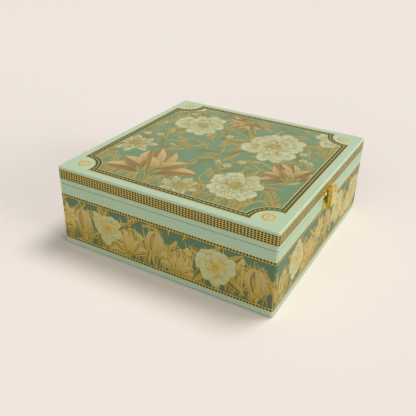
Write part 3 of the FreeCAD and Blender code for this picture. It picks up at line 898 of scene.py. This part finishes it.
def band_art():
    """The garden round the base, with its own planting on each side of one repeat."""
    rng = random.Random(BAND_SEED)
    art = Art()
    side = AROUND / 4
    middle = (BAND_LOW + BAND_HIGH) / 2
    art.strip("ground", 0.0, AROUND / BAND_TURNS, BAND_LOW, BAND_HIGH)
    for index, garden in enumerate(BAND_GARDENS):
        centre = side * (index + 1)
        columns = garden.sprays // SPRAY_ROWS
        for x, y in scattered(rng, columns, SPRAY_ROWS, side / columns):
            root = (centre + x, middle + y)
            loose_frond(art, rng, root, rng.random() * math.tau, (14, 24), 6.5, "leaf_deep", "straw")
        for k in range(columns):
            root = (centre + side * ((k + rng.random()) / columns - 0.5), BAND_LOW)
            loose_frond(art, rng, root, UP + rng.uniform(-0.5, 0.5), (22, 42), 8.0, "leaf", "straw")
        levels = [middle + (9 if k % 2 else -7) + rng.uniform(-3, 3) for k in range(VINE_BENDS + 1)]
        wave = [(centre + side * (k / VINE_BENDS - 0.5), level) for k, level in enumerate(levels)]
        vine(art, rng, wave, 5.5, 11.5)
        for offset, height, count in garden.tufts:
            grass(art, rng, (centre + offset, BAND_LOW), height, count, 11.0)
        for offset, level, turn, size in garden.tulips:
            x = centre + offset
            art.stroke("gold", smooth(((x + 3, BAND_LOW), (x, level - 6), (x, level)), 5), 1.4, 1.0)
            art.paste(tulip(rng, size), (x, level), math.radians(turn))
        for offset, level, turn, size in garden.lilies:
            art.paste(lily(rng, size, "blush", "gold"), (centre + offset, level), math.radians(turn))
        for offset, level, radius in garden.roses:
            leaves_round(art, rng, (centre + offset, level), radius, 6)
            flower = rose(rng, radius, "ivory", "gold")
            art.paste(flower, (centre + offset, level), rng.random() * math.tau, 0.9)
        for offset, level, radius in garden.stars:
            art.paste(star(rng, radius, "ivory", "gold"), (centre + offset, level))
    return art


def lattice_ground():
    """An olive strip between two gold lines."""
    art = Art()
    length = AROUND / LATTICE_TURNS
    art.strip("gold", 0.0, length, LATTICE_LOW, LATTICE_HIGH)
    art.strip("gold_deep", 0.0, length, LATTICE_LOW + LATTICE_EDGE, LATTICE_HIGH - LATTICE_EDGE)
    return art


def lattice_beads():
    """Rows of dark ovals with gold beads between them."""
    art = Art()
    low = LATTICE_LOW + LATTICE_EDGE
    pitch = AROUND / LATTICE_TURNS / LATTICE_COLUMNS
    rise = (LATTICE_HIGH - LATTICE_EDGE - low) / LATTICE_ROWS
    for column in range(LATTICE_COLUMNS):
        for row in range(LATTICE_ROWS):
            x = pitch * (column + 0.25)
            y = low + rise * (row + 0.5)
            art.dot("dark", (x, y), OVAL_LENGTH / 2, 0.0, 8, OVAL_HEIGHT / 2)
            if row:
                bead = (x + pitch / 2, y - rise / 2)
                art.dot("gold", bead, BEAD_SHARE * OVAL_LENGTH, 0.0, 6, BEAD_SHARE * OVAL_HEIGHT)
    return art


def line_art():
    """Two gold lines round the base, each with a row of dark dashes."""
    art = Art()
    length = AROUND / LINE_TURNS
    pitch = length / DASH_COUNT
    for centre in (LINE_LOWER, LINE_UPPER):
        art.strip("gold", 0.0, length, centre - LINE_HEIGHT / 2, centre + LINE_HEIGHT / 2)
        for i in range(DASH_COUNT):
            art.dot("dark", (pitch * (i + 0.5), centre), DASH_LENGTH / 2, 0.0, 8, DASH_HEIGHT / 2)
    return art


def wrapped(art, length):
    """A stretch of art with each shape that crosses one of its ends repeated at the other."""
    whole = Art()
    for shape in art.shapes:
        places = [x for x, _ in shape.outline]
        shifts = [0.0]
        if min(places) < 0.0:
            shifts.append(length)
        if max(places) > length:
            shifts.append(-length)
        single = Art()
        single.shapes.append(shape)
        for shift in shifts:
            whole.paste(single, (shift, 0.0))
    return whole


# Printing


def on_top(x, y, lift):
    """The lid's top, with the art's foot along the -X side."""
    return (y * MM, -x * MM, (TOP + lift) * MM)


def on_sides(along, level, lift):
    """The way round the box from the middle of its back, seen from outside as left to right."""
    side, rest = divmod(along + STRAIGHT / 2, STRAIGHT + BEND)
    reach = HALF - CORNER_RADIUS
    if rest <= STRAIGHT:
        x, y = reach - rest, HALF + lift
    else:
        angle = UP + (rest - STRAIGHT) / CORNER_RADIUS
        x = -reach + (CORNER_RADIUS + lift) * math.cos(angle)
        y = reach + (CORNER_RADIUS + lift) * math.sin(angle)
    c = round(math.cos(side * UP))
    s = round(math.sin(side * UP))
    return ((c * x - s * y) * MM, (s * x + c * y) * MM, level * MM)


def fold_lines(low, high, turns):
    """Where a print bends round the box's corners, on its first turn."""
    lines = []
    for corner in range(4 // turns):
        start = STRAIGHT / 2 + corner * (STRAIGHT + BEND)
        for i in range(FOLD_STEPS + 1):
            along = start + BEND * i / FOLD_STEPS
            lines.append(((along, low), (along, high)))
    return lines


def sides(cell):
    """The directed edges of a cell."""
    return zip(cell, cell[1:] + cell[:1])


def visible_edges(art, mask):
    """Lays the shapes over one another. Returns points, and the shape to the left of each edge that shows."""
    outlines = ([mask] if mask else []) + [shape.outline for shape in art.shapes]
    points = []
    faces = []
    for outline in outlines:
        faces.append(list(range(len(points), len(points) + len(outline))))
        points.extend(Vector(point) for point in outline)
    flat, _, cells, _, _, sources = delaunay_2d_cdt(points, [], faces, CDT_INSIDE, CDT_MERGE)
    first = 1 if mask else 0
    left = {}
    for cell, source in zip(cells, sources):
        shape = max(source, default=-1) - first
        if shape >= 0 and art.shapes[shape].ink and not (mask and 0 not in source):
            for edge in sides(cell):
                left[edge] = shape
    left = {edge: shape for edge, shape in left.items() if left.get(edge[::-1]) != shape}
    join_straight_runs(left, flat)
    return flat, left


def join_straight_runs(left, flat):
    """Takes out the points that hidden shapes left behind on straight edges."""
    near = {}
    for a, b in left:
        near.setdefault(a, set()).add(b)
        near.setdefault(b, set()).add(a)
    for point, ends in near.items():
        if len(ends) != 2:
            continue
        a, b = sorted(ends)
        run = flat[b] - flat[a]
        if b in near[a] or abs(run.cross(flat[point] - flat[a])) > JOIN_BULGE * run.length:
            continue
        for start, end in ((a, b), (b, a)):
            shape = left.pop((start, point), None)
            left.pop((point, end), None)
            if shape is not None:
                left[start, end] = shape
            near[start].remove(point)
            near[start].add(end)
        ends.clear()


def cut(flat, left, folds):
    """Cuts what shows into three-cornered cells. Returns points, cells, and each cell's shape."""
    pairs = sorted({(min(edge), max(edge)) for edge in left})
    used = sorted({point for pair in pairs for point in pair})
    number = {point: index for index, point in enumerate(used)}
    points = [flat[point] for point in used]
    edges = [(number[a], number[b]) for a, b in pairs]
    for start, end in folds:
        edges.append((len(points), len(points) + 1))
        points.extend((Vector(start), Vector(end)))
    spots, links, cells, _, origins, _ = delaunay_2d_cdt(points, edges, [], CDT_HULL, CDT_MERGE)
    known = {}
    for (p, q), origin in zip(links, origins):
        for index in origin:
            if index < len(pairs):
                a, b = pairs[index]
                if (spots[q] - spots[p]).dot(flat[b] - flat[a]) < 0:
                    a, b = b, a
                known[p, q] = left.get((a, b), -1)
                known[q, p] = left.get((b, a), -1)
    owner = {edge: index for index, cell in enumerate(cells) for edge in sides(cell)}
    shapes = [max(known.get(edge, -2) for edge in sides(cell)) for cell in cells]
    queue = [index for index, shape in enumerate(shapes) if shape != -2]
    while queue:
        index = queue.pop()
        for p, q in sides(cells[index]):
            other = owner.get((q, p), -1)
            if other >= 0 and shapes[other] == -2 and (p, q) not in known:
                shapes[other] = shapes[index]
                queue.append(other)
    return spots, cells, shapes


def press(name, art, body, place, mask=None, folds=(), turns=1, inks=INKS):
    """Prints what shows of each ink as one thin closed relief, repeated in equal turns round the box."""
    flat, left = visible_edges(art, mask)
    spots, cells, shapes = cut(flat, left, folds)
    shown = {}
    for cell, shape in zip(cells, shapes):
        if shape >= 0:
            shown.setdefault(art.shapes[shape].ink, []).append((cell, art.shapes[shape]))
    for ink in sorted(shown):
        piece = relief(f"{name}_{ink}", shown[ink], spots, place, inks[ink].lift, turns)
        piece.data.materials.append(ink_material(inks[ink], ink))
        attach(piece, body)


def join_corners(cells):
    """Joins cells along the edges they share. Returns each corner's group, and the edges that stay open."""
    owner = {}
    for index, (cell, _) in enumerate(cells):
        for k, edge in enumerate(sides(cell)):
            owner[edge] = (3 * index + k, 3 * index + (k + 1) % 3)
    parent = list(range(3 * len(cells)))

    def find(corner):
        """The corner that stands for all those joined to this one."""
        while parent[corner] != corner:
            parent[corner] = parent[parent[corner]]
            corner = parent[corner]
        return corner

    border = []
    for (a, b), (corner, after) in owner.items():
        if (b, a) in owner:
            other, other_after = owner[b, a]
            parent[find(corner)] = find(other_after)
            parent[find(after)] = find(other)
        else:
            border.append((corner, after))
    return [find(corner) for corner in range(len(parent))], border


def relief(name, cells, spots, place, lift, turns):
    """A closed thin mesh over flat three-cornered cells. Cells that only touch at a point don't share it."""
    groups, border = join_corners(cells)
    number = {}
    upper = []
    lower = []
    vertex = []
    drawn = []
    for corner, group in enumerate(groups):
        cell, shape = cells[corner // 3]
        point = spots[cell[corner % 3]]
        if group not in number:
            number[group] = len(number)
            upper.append(place(*point, lift))
            lower.append(place(*point, -PRINT_DEPTH))
        vertex.append(number[group])
        drawn.append(drawn_at(shape, point))
    below = len(upper)
    loops = []
    for first in range(0, len(groups), 3):
        trio = range(first, first + 3)
        loops.append([(corner, 0) for corner in trio])
        loops.append([(corner, below) for corner in reversed(trio)])
    for a, b in border:
        loops.append([(b, 0), (a, 0), (a, below), (b, below)])
    faces = [[vertex[corner] + layer for corner, layer in loop] for loop in loops]
    values = [part for loop in loops for corner, _ in loop for part in drawn[corner]]
    return turned_mesh(name, upper + lower, faces, values, turns)


def turned_mesh(name, points, faces, values, turns):
    """An object whose mesh repeats in equal turns round the box. Values say where its corners are drawn."""
    all_points = []
    all_faces = []
    for turn in range(turns):
        spin = Matrix.Rotation(math.tau * turn / turns, 3, "Z")
        first = len(all_points)
        all_faces.extend([index + first for index in face] for face in faces)
        all_points.extend(spin @ Vector(point) for point in points)
    mesh = bpy.data.meshes.new(name)
    mesh.from_pydata(all_points, [], all_faces)
    spot = mesh.attributes.new("print_place", "FLOAT_VECTOR", "CORNER")
    spot.data.foreach_set("vector", values * turns)
    mesh.polygons.foreach_set("use_smooth", [True] * len(mesh.polygons))
    mesh.set_sharp_from_angle(angle=CREASE)
    piece = bpy.data.objects.new(name, mesh)
    bpy.context.scene.collection.objects.link(piece)
    return piece


def drawn_at(shape, point):
    """Where a point lies in its shape: along from root to tip, then across, and the shape's tint."""
    dx = shape.tip[0] - shape.root[0]
    dy = shape.tip[1] - shape.root[1]
    x = point[0] - shape.root[0]
    y = point[1] - shape.root[1]
    run = dx * dx + dy * dy
    return ((x * dx + y * dy) / run, 2 * (y * dx - x * dy) / run, shape.tint)


press("lid_border", border_art(), "lid", on_top, inks=BORDER_INKS)
press("lid_panel", panel_art(), "lid", on_top, scooped(BORDER_WIDTH), inks=PANEL_INKS)

lattice_folds = fold_lines(LATTICE_LOW, LATTICE_HIGH, LATTICE_TURNS)
press("lid_lattice", lattice_ground(), "lid", on_sides, None, lattice_folds, LATTICE_TURNS, FOIL_INKS)
press("lid_lattice_beads", lattice_beads(), "lid", on_sides, None, lattice_folds, LATTICE_TURNS, FOIL_INKS)
line_folds = fold_lines(LINE_LOWER - LINE_HEIGHT / 2, LINE_UPPER + LINE_HEIGHT / 2, LINE_TURNS)
press("base_lines", line_art(), "base", on_sides, None, line_folds, LINE_TURNS, FOIL_INKS)
band_folds = fold_lines(BAND_LOW, BAND_HIGH, BAND_TURNS)
stretch = AROUND / BAND_TURNS
band_mask = [(0.0, BAND_LOW), (stretch, BAND_LOW), (stretch, BAND_HIGH), (0.0, BAND_HIGH)]
press("base_band", wrapped(band_art(), stretch), "base", on_sides, band_mask, band_folds, BAND_TURNS)

# Materials of the CAD pieces, by the first of these words that a node's name has

lining = plain_paper("lining_paper", LINING, LINING_DEEP, LINING_FLECK)
underside = plain_paper("underside_paper", UNDER, UNDER_DEEP, UNDER_FLECK)
board = fibreboard("fibreboard")
gold = gold_metal("gold_metal")
lid_edges = (lid_low[2] / MM, lid_high[2] / MM)
base_edges = (base_low[2] / MM, base_high[2] / MM)
finishes = {
    "lid_wrap": (wrap_paper("sage_paper_lid", *lid_edges, seam=lid_edges[0]), "printed_paper"),
    "base_wrap": (wrap_paper("sage_paper_base", *base_edges, seam=base_edges[1]), "printed_paper"),
}
kinds = {
    "lining": (lining, "lining_paper"),
    "divider": (lining, "lining_paper"),
    "sheet": (underside, "underside_paper"),
    "hinge": (gold, "gold_metal"),
    "clasp": (gold, "gold_metal"),
    "": (board, "fibreboard"),
}
for name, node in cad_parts.items():
    kind = next(word for word in kinds if word in name)
    finish, slot = finishes.get(name, kinds[kind])
    node.data.materials.clear()
    node.data.materials.append(finish)

# Floor, light and camera

reach = FLOOR_SIZE / 2
floor_mesh = bpy.data.meshes.new("floor")
floor_corners = [(-reach, -reach, 0.0), (reach, -reach, 0.0), (reach, reach, 0.0), (-reach, reach, 0.0)]
floor_mesh.from_pydata(floor_corners, [], [(0, 1, 2, 3)])
floor_mesh.materials.append(floor_material("floor"))
floor = bpy.data.objects.new("floor", floor_mesh)
bpy.context.scene.collection.objects.link(floor)

for name, lamp in LAMPS.items():
    sun = bpy.data.objects.new(name, bpy.data.lights.new(name, "SUN"))
    sun.data.energy = lamp.strength
    sun.data.angle = math.radians(lamp.angle)
    sun.rotation_euler = Vector(lamp.came_from).to_track_quat("Z", "Y").to_euler()
    bpy.context.scene.collection.objects.link(sun)

world = bpy.data.worlds.new("studio")
world.use_nodes = True
studio = world.node_tree
dome = studio.nodes["Background"]
dome.inputs["Color"].default_value = (1.0, 1.0, 1.0, 1.0)
dome.inputs["Strength"].default_value = DOME_STRENGTH
backdrop = studio.nodes.new("ShaderNodeBackground")
backdrop.inputs["Color"].default_value = linear(BACKDROP_COLOUR)
either = studio.nodes.new("ShaderNodeMixShader")
studio.links.new(seen_directly(studio), either.inputs["Fac"])
studio.links.new(dome.outputs["Background"], either.inputs[1])
studio.links.new(backdrop.outputs["Background"], either.inputs[2])
studio.links.new(either.outputs["Shader"], studio.nodes["World Output"].inputs["Surface"])
bpy.context.scene.world = world

camera = bpy.data.objects.new("camera", bpy.data.cameras.new("camera"))
camera.data.lens = CAMERA_LENS
camera.data.sensor_width = CAMERA_SENSOR
pan = Matrix.Rotation(math.radians(CAMERA_HEADING) - UP, 4, "Z")
tilt = Matrix.Rotation(math.radians(CAMERA_TILT) + UP, 4, "X")
roll = Matrix.Rotation(math.radians(CAMERA_ROLL), 4, "Z")
camera.matrix_world = Matrix.Translation(Vector(CAMERA_PLACE) * MM) @ pan @ tilt @ roll
bpy.context.scene.collection.objects.link(camera)
bpy.context.scene.camera = camera
bpy.context.scene.view_settings.view_transform = "Standard"
